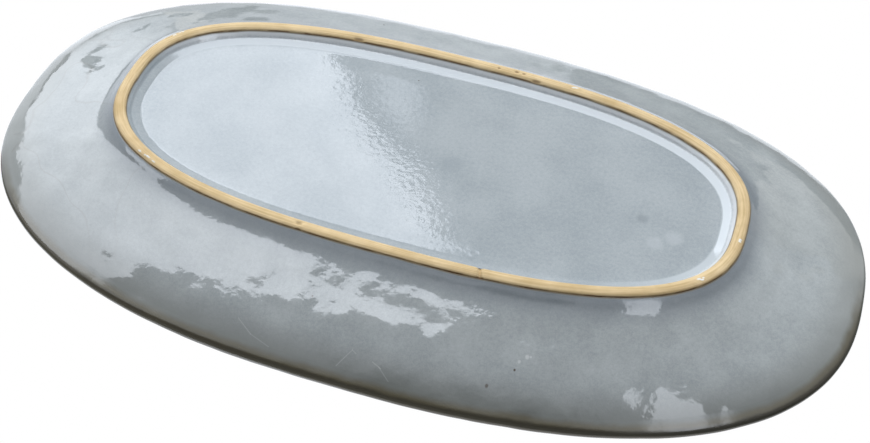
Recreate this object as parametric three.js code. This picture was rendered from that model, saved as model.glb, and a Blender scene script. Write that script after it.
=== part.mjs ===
// Oval stoneware serving plate, glazed all over except for the land of its foot ring.
// Millimetres, +Z up. The origin is the middle of the plane that the foot ring stands on,
// X runs along the plate's length and Y across its width.
//
// Every piece is a section of reach and height points, turned and then drawn out into an oval.
// Reach is the half-length of the oval that a point of the section lies on.
import * as THREE from 'three';

// Lip: the middle line of the rounded edge. It hangs lower at the ends than at the sides.
const LIP_HALF_LENGTH = 178.8;
const LIP_HALF_WIDTH = 99.2;
const LIP_HEIGHT_AT_ENDS = 26.4;
const LIP_HEIGHT_AT_SIDES = 31;
const LIP_ROUNDNESS = 2.49;

// Foot ring: its middle line, the bare land that it stands on, and how far its coved sides run out
const FOOT_HALF_LENGTH = 128;
const FOOT_HALF_WIDTH = 55.5;
const FOOT_ROUNDNESS = 2.65;
const FOOT_HEIGHT = 5.5;
const LAND_WIDTH = 4.5;
const INNER_COVE_WIDTH = 5.2;
const OUTER_COVE_WIDTH = 16;
const SLIP_THICKNESS = 0.5;
const SLIP_RUN = 7.5;

// Wall: the clay's thickness, and how strongly the flank turns up towards the lip
const WALL_THICKNESS = 4.2;
const FLANK_CURVE = 1.1;

// Glaze: its coat, where it stops above the land, and how far the brown lip coat runs in
// from the lip's middle line. The bed is the room between clay and coat, and over the slip.
const GLAZE_THICKNESS = 0.45;
const GLAZE_BED = 0.3;
const GLAZE_STOP_HEIGHT = 0.6;
const LIP_COAT_RUN = 4;

// Facets
const OVAL_SEGMENTS = 64;
const FLANK_STEPS = 6;
const COVE_STEPS = 6;
const LIP_STEPS = 4;

const { lerp } = THREE.MathUtils;
const HALF_WALL = WALL_THICKNESS / 2;
const COAT_FACE = GLAZE_BED + GLAZE_THICKNESS;
const FLANK_START = FOOT_HALF_LENGTH + LAND_WIDTH / 2;
const COVE_END = FLANK_START + OUTER_COVE_WIDTH;
const BASE_EDGE = FOOT_HALF_LENGTH - LAND_WIDTH / 2 - INNER_COVE_WIDTH;
const FLANK_RUN = LIP_HALF_LENGTH - FLANK_START;
const FLOOR_MIDDLE = FOOT_HEIGHT + HALF_WALL;
const LIP_MEAN_HEIGHT = (LIP_HEIGHT_AT_SIDES + LIP_HEIGHT_AT_ENDS) / 2;
const LIP_SADDLE = (LIP_HEIGHT_AT_SIDES - LIP_HEIGHT_AT_ENDS) / 2;
const LIP_COAT_START = LIP_HALF_LENGTH - LIP_COAT_RUN;
const SKIN_END = LIP_COAT_START - GLAZE_BED;
const RING_TOP = FOOT_HEIGHT - SLIP_THICKNESS;

// How far a reach has come along the flank: 0 over the ring's outer edge, 1 at the lip's middle line
function climb(reach) {
  return Math.max(0, (reach - FLANK_START) / FLANK_RUN);
}

// How far a reach follows the lip up at the sides and down at the ends: not at all up to the cove's end
function sway(reach) {
  return Math.max(0, (reach - COVE_END) / (LIP_HALF_LENGTH - COVE_END)) ** 2;
}

// Half-width of the oval whose half-length is reach. Across the foot ring both grow alike,
// so the ring keeps one section all the way round.
function halfWidth(reach) {
  if (reach < BASE_EDGE) {
    return reach * (FOOT_HALF_WIDTH - FOOT_HALF_LENGTH + BASE_EDGE) / BASE_EDGE;
  }
  if (reach < FLANK_START) {
    return FOOT_HALF_WIDTH + reach - FOOT_HALF_LENGTH;
  }
  return lerp(FOOT_HALF_WIDTH + LAND_WIDTH / 2, LIP_HALF_WIDTH, climb(reach));
}

// How far the oval bulges past an ellipse in a direction: it is squarer at the foot than at the lip
function fullness(reach, cosine, sine) {
  const roundness = lerp(FOOT_ROUNDNESS, LIP_ROUNDNESS, Math.min(1, climb(reach)));
  return (Math.abs(cosine) ** roundness + Math.abs(sine) ** roundness) ** (-1 / roundness);
}

// Turns a section and draws it out into the oval. The section runs anticlockwise and starts
// and ends on the axis, or closes on itself.
function drawnOval(section) {
  const geometry = new THREE.LatheGeometry(section, OVAL_SEGMENTS);
  const { position } = geometry.attributes;
  for (let index = 0; index < position.count; index += 1) {
    const { x: reach, y: height } = section[index % section.length];
    const turn = 2 * Math.PI * Math.floor(index / section.length) / OVAL_SEGMENTS;
    const cosine = Math.cos(turn);
    const sine = Math.sin(turn);
    const swell = fullness(reach, cosine, sine);
    const drop = LIP_SADDLE * sway(reach) * Math.cos(2 * turn);
    position.setXYZ(index, reach * cosine * swell, halfWidth(reach) * sine * swell, height - drop);
  }
  geometry.computeVertexNormals();
  return geometry;
}

// Points of a line between two values, both ends included
function along(start, end, steps, pointAt) {
  return Array.from({ length: steps + 1 }, (_, step) => pointAt(lerp(start, end, step / steps)));
}

// Closes a section by repeating its first point
function closed(points) {
  return [...points, points[0].clone()];
}

function onAxis(height) {
  return new THREE.Vector2(0, height);
}

// The wall's middle line at a reach, with the direction that leads down and out of the clay there
function wallMiddle(reach) {
  const rise = LIP_MEAN_HEIGHT - FLOOR_MIDDLE;
  const slope = FLANK_CURVE * rise / FLANK_RUN * climb(reach) ** (FLANK_CURVE - 1);
  return {
    point: new THREE.Vector2(reach, FLOOR_MIDDLE + rise * climb(reach) ** FLANK_CURVE),
    down: new THREE.Vector2(slope, -1).normalize(),
  };
}

// A line beside the wall's middle line, below it where distance is positive and above it where negative
function wallLine(start, end, distance) {
  return along(start, end, FLANK_STEPS, (reach) => {
    const { point, down } = wallMiddle(reach);
    return point.addScaledVector(down, distance);
  });
}

// The rounded lip, from its underside round to its serving side
function lipLine(radius) {
  const { point, down } = wallMiddle(LIP_HALF_LENGTH);
  const outward = new THREE.Vector2(-down.y, down.x);
  return along(0, Math.PI, LIP_STEPS, (angle) => point.clone()
    .addScaledVector(down, radius * Math.cos(angle))
    .addScaledVector(outward, radius * Math.sin(angle)));
}

// One coved side of the foot ring, side +1 outside it and -1 inside it. It rises square from the land
// and runs out along the flank outside, and along the flat bottom inside.
function cove(side) {
  const { point, down } = wallMiddle(side > 0 ? COVE_END : BASE_EDGE);
  const end = point.addScaledVector(down, HALF_WALL);
  const land = new THREE.Vector2(FOOT_HALF_LENGTH + side * LAND_WIDTH / 2, 0);
  const corner = new THREE.Vector2(land.x, end.y + down.x / down.y * (end.x - land.x));
  return new THREE.QuadraticBezierCurve(land, corner, end);
}

// The share of a cove at which it has risen to a height above the land
function coveShare(side, height) {
  const { v1: corner, v2: end } = cove(side);
  return height / (corner.y + Math.sqrt(corner.y ** 2 + (end.y - 2 * corner.y) * height));
}

// A line beside a cove between two shares of it, distance out of the clay
function coveLine(side, start, end, distance) {
  const curve = cove(side);
  return along(start, end, COVE_STEPS, (share) => {
    const { x, y } = curve.getTangent(share);
    return curve.getPoint(share).addScaledVector(new THREE.Vector2(side * y, -side * x), distance);
  });
}

// The pressed clay plate: flat bottom, flank, rounded lip and serving side
function stonewareBody() {
  return [
    onAxis(FOOT_HEIGHT),
    ...wallLine(FLANK_START, LIP_HALF_LENGTH, HALF_WALL),
    ...lipLine(HALF_WALL).slice(1, -1),
    ...wallLine(LIP_HALF_LENGTH, FLANK_START, -HALF_WALL),
    onAxis(FOOT_HEIGHT + WALL_THICKNESS),
  ];
}

// The ring under the plate: a flat bare land, coved sides and a flat top
function footRing() {
  return closed([
    ...coveLine(1, 0, coveShare(1, RING_TOP), 0),
    ...coveLine(-1, coveShare(-1, RING_TOP), 0, 0),
  ]);
}

// The slip that joins the ring to the plate's flat bottom, smoothed out into both coves
function lutingSlip() {
  const { v0: land, v2: end } = cove(1);
  const slipEnd = Math.sqrt(SLIP_RUN / (end.x - land.x));
  return closed([
    ...coveLine(1, coveShare(1, RING_TOP), slipEnd, 0),
    ...wallLine(FLANK_START + SLIP_RUN, FLANK_START, HALF_WALL + GLAZE_BED),
    new THREE.Vector2(FLANK_START, FOOT_HEIGHT),
    ...coveLine(-1, 1, coveShare(-1, RING_TOP), 0),
  ]);
}

// The coat from the ring's outer side, through the cove and up the flank to the lip coat
function flankGlaze() {
  const stop = coveShare(1, GLAZE_STOP_HEIGHT);
  return closed([
    ...coveLine(1, stop, 1, COAT_FACE),
    ...wallLine(COVE_END, SKIN_END, HALF_WALL + COAT_FACE).slice(1),
    ...wallLine(SKIN_END, COVE_END, HALF_WALL + GLAZE_BED).slice(0, -1),
    ...coveLine(1, 1, stop, GLAZE_BED),
  ]);
}

// The coat inside the ring: the base panel, the cove and the ring's inner side
function baseGlaze() {
  const stop = coveShare(-1, GLAZE_STOP_HEIGHT);
  return [
    onAxis(FOOT_HEIGHT - COAT_FACE),
    ...coveLine(-1, 1, stop, COAT_FACE),
    ...coveLine(-1, stop, 1, GLAZE_BED),
    onAxis(FOOT_HEIGHT - GLAZE_BED),
  ];
}

// The coat over the serving side, up to the lip coat
function servingGlaze() {
  const floor = FOOT_HEIGHT + WALL_THICKNESS;
  return [
    onAxis(floor + GLAZE_BED),
    ...wallLine(FLANK_START, SKIN_END, -HALF_WALL - GLAZE_BED),
    ...wallLine(SKIN_END, FLANK_START, -HALF_WALL - COAT_FACE),
    onAxis(floor + COAT_FACE),
  ];
}

// The coat round the lip, where the glaze runs thin and breaks brown
function lipGlaze() {
  const faceRadius = HALF_WALL + COAT_FACE;
  const bedRadius = HALF_WALL + GLAZE_BED;
  const edge = (distance) => wallLine(LIP_COAT_START, LIP_HALF_LENGTH, distance)[0];
  return closed([
    edge(faceRadius),
    ...lipLine(faceRadius),
    edge(-faceRadius),
    edge(-bedRadius),
    ...lipLine(bedRadius).reverse(),
    edge(bedRadius),
  ]);
}

const bareClay = new THREE.MeshStandardMaterial({ color: '#d9bd8c', roughness: 0.85, metalness: 0 });
const driedSlip = new THREE.MeshStandardMaterial({ color: '#c9ab7a', roughness: 0.9, metalness: 0 });
const greyGlaze = new THREE.MeshStandardMaterial({ color: '#98a2a8', roughness: 0.15, metalness: 0 });
const brownGlaze = new THREE.MeshStandardMaterial({ color: '#5e5644', roughness: 0.25, metalness: 0 });

const pieces = [
  ['stoneware_body', stonewareBody(), bareClay],
  ['foot_ring', footRing(), bareClay],
  ['luting_slip', lutingSlip(), driedSlip],
  ['flank_glaze', flankGlaze(), greyGlaze],
  ['base_glaze', baseGlaze(), greyGlaze],
  ['serving_glaze', servingGlaze(), greyGlaze],
  ['lip_glaze', lipGlaze(), brownGlaze],
];

const plate = new THREE.Group();
plate.name = 'oval_plate';
for (const [name, section, material] of pieces) {
  const piece = new THREE.Mesh(drawnOval(section), material);
  piece.name = name;
  plate.add(piece);
}

export default plate;
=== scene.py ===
"""Oval stoneware serving plate with a bare foot ring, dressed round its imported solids.

The plate stands upright, with its foot ring on the floor at z = 0 and X along its length.
The camera looks at the underside, from below the floor, as the plate lies in the photograph.
Sizes are in metres, and MM turns the ones that are given in millimetres into metres.
"""

import logging
import math
import random
from collections.abc import Callable, Sequence
from dataclasses import dataclass, replace
from enum import Enum
from typing import Protocol

import bpy
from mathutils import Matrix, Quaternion, Vector, noise


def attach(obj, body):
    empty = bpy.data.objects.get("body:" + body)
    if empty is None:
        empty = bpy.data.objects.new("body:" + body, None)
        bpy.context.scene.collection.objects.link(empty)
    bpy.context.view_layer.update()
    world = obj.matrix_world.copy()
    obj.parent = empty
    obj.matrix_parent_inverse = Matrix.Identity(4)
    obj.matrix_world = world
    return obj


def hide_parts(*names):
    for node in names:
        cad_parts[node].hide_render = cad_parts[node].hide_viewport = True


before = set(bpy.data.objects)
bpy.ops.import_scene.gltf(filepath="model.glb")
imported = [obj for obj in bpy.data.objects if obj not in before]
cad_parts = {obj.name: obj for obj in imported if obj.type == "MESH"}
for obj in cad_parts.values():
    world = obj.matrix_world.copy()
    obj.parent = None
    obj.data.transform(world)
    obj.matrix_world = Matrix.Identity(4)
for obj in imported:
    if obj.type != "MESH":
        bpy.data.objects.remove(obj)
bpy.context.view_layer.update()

MM = 0.001
SECTION_MAP = "section"
GLOW_MAP = "glow"
BODY = "root"
HALF = 0.5

Colour = tuple[float, float, float]
Place = tuple[float, float, float]
Direction = tuple[float, float]
Profile = Callable[[float], list[Vector]]
Socket = bpy.types.NodeSocket

log = logging.getLogger("oval_plate")


class Slot(Enum):
    """Material slots of the record."""

    STONEWARE = "stoneware"
    BARE_FOOT = "bare_foot"
    SLIP = "slip"
    GREY_GLAZE = "grey_glaze"
    BROWN_GLAZE = "brown_glaze"


class Side(Enum):
    """The two coved sides of the foot ring."""

    OUTSIDE = 1
    INSIDE = -1


class NodeBoard:
    """Adds nodes to one node tree and links them."""

    def __init__(self, tree: bpy.types.NodeTree) -> None:
        """Keeps the tree that the nodes go into."""
        self.tree = tree

    def feed(self, socket: Socket, value: object) -> None:
        """Links an input to another node's output, or sets its value.

        Args:
            socket: The input to feed.
            value: An output socket, or a plain value.
        """
        if isinstance(value, Socket):
            self.tree.links.new(value, socket)
        else:
            socket.default_value = value

    def add(
        self, kind: str, inputs: dict[str | int, object] | None = None, **settings: object
    ) -> bpy.types.Node:
        """Adds a node.

        Args:
            kind: The node's type name.
            inputs: Values or output sockets for its inputs, by name or index.
            settings: The node's own options.

        Returns:
            The new node.
        """
        node = self.tree.nodes.new(kind)
        for option, value in settings.items():
            setattr(node, option, value)
        for key, value in (inputs or {}).items():
            self.feed(node.inputs[key], value)
        return node

    def math(self, operation: str, *values: object) -> Socket:
        """Adds a Math node.

        Args:
            operation: The node's operation.
            values: Its operands, sockets or numbers.

        Returns:
            Its result.
        """
        return self.add("ShaderNodeMath", dict(enumerate(values)), operation=operation).outputs[0]

    def vector(self, operation: str, first: object, second: object, output: str = "Vector") -> Socket:
        """Adds a Vector Math node.

        Args:
            operation: The node's operation.
            first: Its first operand, a socket or a plain vector.
            second: Its second operand.
            output: Which of its two outputs is wanted.

        Returns:
            Its result.
        """
        node = self.add("ShaderNodeVectorMath", {0: first, 1: second}, operation=operation)
        return node.outputs[output]

    def turns_from(self, turn: Socket, middle: float) -> Socket:
        """Returns how far one share of a turn is from another, the shorter way round."""
        return self.math("PINGPONG", self.math("SUBTRACT", turn, middle), HALF)

    def ramp(
        self,
        value: object,
        start: object,
        end: object,
        low: object = 0.0,
        high: object = 1.0,
        smooth: bool = True,
    ) -> Socket:
        """Adds a clamped Map Range node.

        Args:
            value: What is mapped.
            start: The value that gives low.
            end: The value that gives high.
            low: Result at start.
            high: Result at end.
            smooth: Whether the ramp eases at both ends.

        Returns:
            The mapped value.
        """
        inputs = {"Value": value, "From Min": start, "From Max": end, "To Min": low, "To Max": high}
        kind = "SMOOTHSTEP" if smooth else "LINEAR"
        return self.add("ShaderNodeMapRange", inputs, interpolation_type=kind).outputs["Result"]

    def noise(self, vector: object, scale: object, detail: float = 2.0, roughness: float = 0.5) -> Socket:
        """Adds a Noise Texture node.

        Args:
            vector: Where the noise is read.
            scale: Scale of the noise, in features per unit.
            detail: Number of finer octaves.
            roughness: Strength of each finer octave.

        Returns:
            The noise, from 0 to 1.
        """
        inputs = {"Vector": vector, "Scale": scale, "Detail": detail, "Roughness": roughness}
        return self.add("ShaderNodeTexNoise", inputs).outputs[0]

    def split(self, vector: Socket) -> Sequence[Socket]:
        """Returns the three parts of a vector."""
        return self.add("ShaderNodeSeparateXYZ", {0: vector}).outputs

    def join(self, x: object, y: object, z: object) -> Socket:
        """Returns a vector of three parts."""
        return self.add("ShaderNodeCombineXYZ", {0: x, 1: y, 2: z}).outputs[0]

    def blend(self, share: object, first: object, second: object) -> Socket:
        """Adds a colour Mix node.

        Args:
            share: How much of the second colour shows.
            first: The colour at share 0.
            second: The colour at share 1.

        Returns:
            The mixed colour.
        """
        colours = [solid(item) if isinstance(item, tuple) else item for item in (first, second)]
        inputs = {0: share, 6: colours[0], 7: colours[1]}
        return self.add("ShaderNodeMix", inputs, data_type="RGBA").outputs[2]


def solid(colour: Colour) -> tuple[float, float, float, float]:
    """Returns a colour with full opacity."""
    return (*colour, 1.0)


def spaced(start: float, end: float, steps: int) -> list[float]:
    """Returns evenly spaced values, both ends included."""
    return [start + (end - start) * step / steps for step in range(steps + 1)]


def level_line(start: float, end: float, height: float, steps: int) -> list[Vector]:
    """Returns evenly spaced points at one height, from one reach to another."""
    return [Vector((reach, height)) for reach in spaced(start, end, steps)]


def signed_power(value: float, power: float) -> float:
    """Returns a power of a value's size, with the value's sign."""
    return math.copysign(abs(value) ** power, value)


def blank_board(owner: bpy.types.Material | bpy.types.World) -> NodeBoard:
    """Empties the node tree of a material or a world.

    Args:
        owner: The material or the world.

    Returns:
        A board on its tree.
    """
    owner.use_nodes = True
    owner.node_tree.nodes.clear()
    return NodeBoard(owner.node_tree)


@dataclass(frozen=True)
class PlateForm:
    """The plate's section, as points of reach and height.

    Reach is the half-length of the oval that a point lies on, and height is above the floor.
    """

    lip_half_length: float = 178.8 * MM
    lip_half_width: float = 99.8 * MM
    lip_height_at_ends: float = 26.4 * MM
    lip_height_at_sides: float = 31.0 * MM
    lip_roundness: float = 2.49
    foot_half_length: float = 128.0 * MM
    foot_half_width: float = 55.5 * MM
    foot_roundness: float = 2.65
    foot_height: float = 5.5 * MM
    land_width: float = 4.5 * MM
    inner_cove_width: float = 5.2 * MM
    outer_cove_width: float = 16.0 * MM
    slip_thickness: float = 0.5 * MM
    slip_run: float = 7.5 * MM
    wall_thickness: float = 4.2 * MM
    flank_curve: float = 1.1
    coat: float = 0.75 * MM
    pool_width: float = 4.75 * MM
    pool_slope: float = 0.29
    coat_sink: float = 0.05 * MM
    crown_rise: float = 1.4 * MM
    crown_fullness: float = 2.05
    lip_coat_run: float = 4.0 * MM

    @property
    def half_wall(self) -> float:
        """Half the clay's thickness."""
        return self.wall_thickness / 2

    @property
    def coat_face(self) -> float:
        """From the wall's middle line to the face of the glaze."""
        return self.half_wall + self.coat

    @property
    def coat_back(self) -> float:
        """From the wall's middle line to the back of the glaze, just inside the clay."""
        return self.half_wall - self.coat_sink

    @property
    def flank_start(self) -> float:
        """Reach of the ring's outer edge, over which the flank begins to rise."""
        return self.foot_half_length + self.land_width / 2

    @property
    def cove_end(self) -> float:
        """Reach where the outer cove runs out on the flank."""
        return self.flank_start + self.outer_cove_width

    @property
    def base_edge(self) -> float:
        """Reach where the base panel meets the inner cove."""
        return self.foot_half_length - self.land_width / 2 - self.inner_cove_width

    @property
    def ring_top(self) -> float:
        """Height at which the ring ends and the slip begins."""
        return self.foot_height - self.slip_thickness

    @property
    def lip_coat_start(self) -> float:
        """Reach where the lip coat takes over from the other coats."""
        return self.lip_half_length - self.lip_coat_run

    @property
    def lip_saddle(self) -> float:
        """How far the lip rises at the sides and drops at the ends."""
        return (self.lip_height_at_sides - self.lip_height_at_ends) / 2

    def climb(self, reach: float) -> float:
        """Returns how far a reach is along the flank, 0 at the foot and 1 at the lip's middle line."""
        return max(0.0, (reach - self.flank_start) / (self.lip_half_length - self.flank_start))

    def wall_point(self, reach: float, distance: float) -> Vector:
        """Gives a point beside the wall's middle line.

        Args:
            reach: Where along the wall.
            distance: How far from the middle line, positive below it.

        Returns:
            Reach and height of the point.
        """
        middle, down = self.wall_middle(reach)
        return middle + down * distance

    def wall_middle(self, reach: float) -> tuple[Vector, Vector]:
        """Gives the wall's middle line.

        Args:
            reach: Where along the wall.

        Returns:
            The point, and the direction that leads down and out of the clay there.
        """
        floor_middle = self.foot_height + self.half_wall
        rise = (self.lip_height_at_ends + self.lip_height_at_sides) / 2 - floor_middle
        run = self.lip_half_length - self.flank_start
        climb = self.climb(reach)
        slope = self.flank_curve * rise / run * climb ** (self.flank_curve - 1)
        middle = Vector((reach, floor_middle + rise * climb**self.flank_curve))
        return middle, Vector((slope, -1)).normalized()

    def wall_line(self, start: float, end: float, distance: float, steps: int) -> list[Vector]:
        """Returns points beside the wall's middle line, from one reach to another."""
        return [self.wall_point(reach, distance) for reach in spaced(start, end, steps)]

    def lip_line(self, radius: float, steps: int) -> list[Vector]:
        """Gives points round the lip, from its underside to its serving side.

        Args:
            radius: Distance from the end of the wall's middle line.
            steps: Number of steps.

        Returns:
            Reach and height of the points.
        """
        middle, down = self.wall_middle(self.lip_half_length)
        outward = Vector((-down.y, down.x))
        return [
            middle + down * (radius * math.cos(angle)) + outward * (radius * math.sin(angle))
            for angle in spaced(0, math.pi, steps)
        ]

    def cove(self, side: Side) -> tuple[Vector, Vector, Vector]:
        """Gives the curve of one coved side of the foot ring.

        Args:
            side: Which side of the ring.

        Returns:
            Where it leaves the land, where its two tangents meet, and where it runs out.
        """
        middle, down = self.wall_middle(self.cove_end if side is Side.OUTSIDE else self.base_edge)
        end = middle + down * self.half_wall
        land = Vector((self.foot_half_length + side.value * self.land_width / 2, 0))
        return land, Vector((land.x, end.y + down.x / down.y * (end.x - land.x))), end

    def cove_share(self, side: Side, height: float) -> float:
        """Returns the share of a cove at which it has risen to a height."""
        _, corner, end = self.cove(side)
        return height / (corner.y + math.sqrt(corner.y**2 + (end.y - 2 * corner.y) * height))

    def cove_line(self, side: Side, shares: Sequence[float], distance: float) -> list[Vector]:
        """Gives points beside the coved side of the foot ring.

        Args:
            side: Which side of the ring.
            shares: Where along the cove, from 0 at the land to 1 where it runs out.
            distance: How far out of the clay.

        Returns:
            Reach and height of the points.
        """
        land, corner, end = self.cove(side)
        points = []
        for share in shares:
            rest = 1 - share
            along = ((corner - land) * rest + (end - corner) * share).normalized()
            out = Vector((along.y, -along.x)) * side.value
            points.append(land * rest**2 + corner * (2 * rest * share) + end * share**2 + out * distance)
        return points

    def crown_line(self, steps: int) -> list[Vector]:
        """Gives points across the ring's rounded land, from its inner side to its outer side.

        Args:
            steps: Number of steps.

        Returns:
            Reach and height of the points.
        """
        inner, outer = (
            self.cove_line(side, [self.cove_share(side, self.crown_rise)], 0)[0].x
            for side in (Side.INSIDE, Side.OUTSIDE)
        )
        middle = (inner + outer) / 2
        edge = (outer - inner) / 2
        power = 2 / self.crown_fullness
        points = []
        for angle in spaced(math.pi, 0, steps):
            across = signed_power(math.cos(angle), power) * edge
            points.append(Vector((middle + across, self.crown_rise * (1 - abs(math.sin(angle)) ** power))))
        return points


@dataclass(frozen=True)
class HandFinish:
    """The small unevenness that a hand-made plate has."""

    lip_egg: float = 0.72 * MM
    lip_egg_inset: float = 1.3
    flank_bow: float = 1.6 * MM
    slow_wave: float = 0.6 * MM
    slow_wave_length: float = 60 * MM
    ripple: float = 0.9 * MM
    ripple_length: float = 14 * MM
    floor_wave: float = 0.25 * MM
    floor_wave_length: float = 45 * MM
    wave_fade: float = 0.3
    floor_fade: float = 25 * MM
    seed: float = 4.0
    sharp_angle: float = math.radians(40)
    merge_distance: float = 0.001 * MM


class DrawnOval:
    """Geometry Nodes tree that draws an unrolled strip out into the plate's oval.

    The strip's X is the share of a turn, its Y is reach and its Z is height.
    The bow's peak is what makes the largest value of its cubic curve 1.
    """

    egg_lobes: float = 3.0
    saddle_lobes: float = 2.0
    end_ease: float = 2.0
    bow_peak: float = 27 / 4
    slow_detail: float = 0.0
    ripple_detail: float = 1.0
    floor_detail: float = 1.0

    def __init__(self, form: PlateForm, finish: HandFinish) -> None:
        """Builds the tree.

        Args:
            form: The plate's sizes.
            finish: Its unevenness.
        """
        self.tree = bpy.data.node_groups.new("drawn_oval", "GeometryNodeTree")
        self.values = {
            "Foot Half Length": form.foot_half_length,
            "Foot Half Width": form.foot_half_width,
            "Base Edge": form.base_edge,
            "Flank Start": form.flank_start,
            "Cove End": form.cove_end,
            "Foot Roundness": form.foot_roundness,
            "Lip Half Length": form.lip_half_length,
            "Lip Half Width": form.lip_half_width,
            "Lip Roundness": form.lip_roundness,
            "Lip Saddle": form.lip_saddle,
            "Lip Egg": finish.lip_egg,
            "Lip Egg Inset": finish.lip_egg_inset,
            "Flank Bow": finish.flank_bow,
            "Slow Wave": finish.slow_wave,
            "Slow Wave Scale": 1 / finish.slow_wave_length,
            "Ripple": finish.ripple,
            "Ripple Scale": 1 / finish.ripple_length,
            "Floor Wave": finish.floor_wave,
            "Floor Wave Scale": 1 / finish.floor_wave_length,
            "Wave Fade": finish.wave_fade,
            "Floor Fade": finish.floor_fade,
            "Seed": finish.seed,
            "Sharp Angle": finish.sharp_angle,
            "Merge Distance": finish.merge_distance,
        }
        self.identifiers: dict[str, str] = {}
        self._make_sockets()
        self.board = NodeBoard(self.tree)
        self.given = self.board.add("NodeGroupInput").outputs
        self._make_nodes()

    def _make_sockets(self) -> None:
        """Makes the tree's inputs and its output."""
        kinds = {"Geometry": "NodeSocketGeometry"}
        kinds.update(dict.fromkeys(self.values, "NodeSocketFloat"))
        kinds["Material"] = "NodeSocketMaterial"
        for name, kind in kinds.items():
            socket = self.tree.interface.new_socket(name=name, in_out="INPUT", socket_type=kind)
            self.identifiers[name] = socket.identifier
        self.tree.interface.new_socket(name="Geometry", in_out="OUTPUT", socket_type="NodeSocketGeometry")

    def _half_width(self, reach: Socket, climb: Socket) -> Socket:
        """Adds the half-width of the oval that a reach lies on.

        Args:
            reach: Half-length of the oval.
            climb: How far it is along the flank.

        Returns:
            Half-width of the oval. Across the foot ring it grows as the half-length does.
        """
        board, given = self.board, self.given
        slack = board.math("SUBTRACT", given["Foot Half Length"], given["Foot Half Width"])
        base_half_width = board.math("SUBTRACT", given["Base Edge"], slack)
        foot_span = board.math("SUBTRACT", given["Flank Start"], given["Base Edge"])
        flank_half_width = board.math("ADD", base_half_width, foot_span)
        flank_gain = board.math("SUBTRACT", given["Lip Half Width"], flank_half_width)
        inside = board.ramp(reach, 0.0, given["Base Edge"], 0.0, base_half_width, smooth=False)
        past_base = board.math("MAXIMUM", board.math("SUBTRACT", reach, given["Base Edge"]), 0.0)
        across_foot = board.math("MINIMUM", past_base, foot_span)
        outside = board.math("MULTIPLY", climb, flank_gain)
        return board.math("ADD", board.math("ADD", inside, across_foot), outside)

    def _fullness(self, climb: Socket, cosine: Socket, sine: Socket) -> Socket:
        """Adds how far the oval bulges past an ellipse in a direction.

        Args:
            climb: How far along the flank.
            cosine: Cosine of the turn.
            sine: Sine of the turn.

        Returns:
            The factor on both half-axes.
        """
        board, given = self.board, self.given
        at_foot, at_lip = given["Foot Roundness"], given["Lip Roundness"]
        roundness = board.ramp(climb, 0.0, 1.0, at_foot, at_lip, smooth=False)
        parts = [board.math("POWER", board.math("ABSOLUTE", part), roundness) for part in (cosine, sine)]
        return board.math("POWER", board.math("ADD", *parts), board.math("DIVIDE", -1.0, roundness))

    def _unevenness(self, x: Socket, y: Socket, reach: Socket, climb: Socket) -> Socket:
        """Adds the drop that the hand-made surface has at a place. It is none at the foot ring.

        Args:
            x: Place along the plate.
            y: Place across the plate.
            reach: Half-length of the oval there.
            climb: How far along the flank.

        Returns:
            How far the surface lies below its true height.
        """
        board, given = self.board, self.given
        place = board.join(x, y, given["Seed"])
        slow, quick, floor = (
            board.math("MULTIPLY", board.noise(place, given[f"{name} Scale"], detail), given[name])
            for name, detail in (
                ("Slow Wave", self.slow_detail),
                ("Ripple", self.ripple_detail),
                ("Floor Wave", self.floor_detail),
            )
        )
        waves = board.math("ADD", slow, quick)
        on_flank = board.math("MULTIPLY", waves, board.ramp(climb, 0.0, given["Wave Fade"]))
        fade_start = board.math("SUBTRACT", given["Base Edge"], given["Floor Fade"])
        on_floor = board.math("MULTIPLY", floor, board.ramp(reach, given["Base Edge"], fade_start))
        return board.math("ADD", on_flank, on_floor)

    def _bow(self, sway: Socket, along: Socket, sine: Socket) -> Socket:
        """Adds how far the flank sags before the lip, most at the far side and not at the near side.

        Args:
            sway: Square of the share from the cove to the lip.
            along: That share.
            sine: Sine of the turn.

        Returns:
            How far the flank lies below its true height.
        """
        board, given = self.board, self.given
        curve = board.math("MULTIPLY", sway, board.math("SUBTRACT", 1.0, along))
        shape = board.math("MULTIPLY", curve, self.bow_peak)
        far = board.ramp(sine, 1.0, -1.0, smooth=False)
        return board.math("MULTIPLY", board.math("MULTIPLY", shape, far), given["Flank Bow"])

    def _make_nodes(self) -> None:
        """Makes the nodes from the strip to the finished mesh."""
        board, given = self.board, self.given
        turn, reach, height = board.split(board.add("GeometryNodeInputPosition").outputs[0])
        angle = board.math("MULTIPLY", turn, math.tau)
        cosine, sine = board.math("COSINE", angle), board.math("SINE", angle)
        flank_run = board.math("SUBTRACT", given["Lip Half Length"], given["Flank Start"])
        past = board.math("MAXIMUM", board.math("SUBTRACT", reach, given["Flank Start"]), 0.0)
        climb = board.math("DIVIDE", past, flank_run)
        sway_run = board.math("SUBTRACT", given["Lip Half Length"], given["Cove End"])
        past_cove = board.math("MAXIMUM", board.math("SUBTRACT", reach, given["Cove End"]), 0.0)
        along_sway = board.math("DIVIDE", past_cove, sway_run)
        sway = board.math("POWER", along_sway, 2.0)

        lobes = board.math("COSINE", board.math("MULTIPLY", angle, self.egg_lobes))
        lobes = board.math("SUBTRACT", lobes, given["Lip Egg Inset"])
        egg = board.math("MULTIPLY", board.math("MULTIPLY", lobes, given["Lip Egg"]), sway)
        egg_reach = board.math("ADD", reach, egg)
        egg_climb = board.math("ADD", climb, board.math("DIVIDE", egg, flank_run))
        swell = self._fullness(climb, cosine, sine)
        x = board.math("MULTIPLY", board.math("MULTIPLY", egg_reach, cosine), swell)
        half_width = self._half_width(egg_reach, egg_climb)
        y = board.math("MULTIPLY", board.math("MULTIPLY", half_width, sine), swell)

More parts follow.
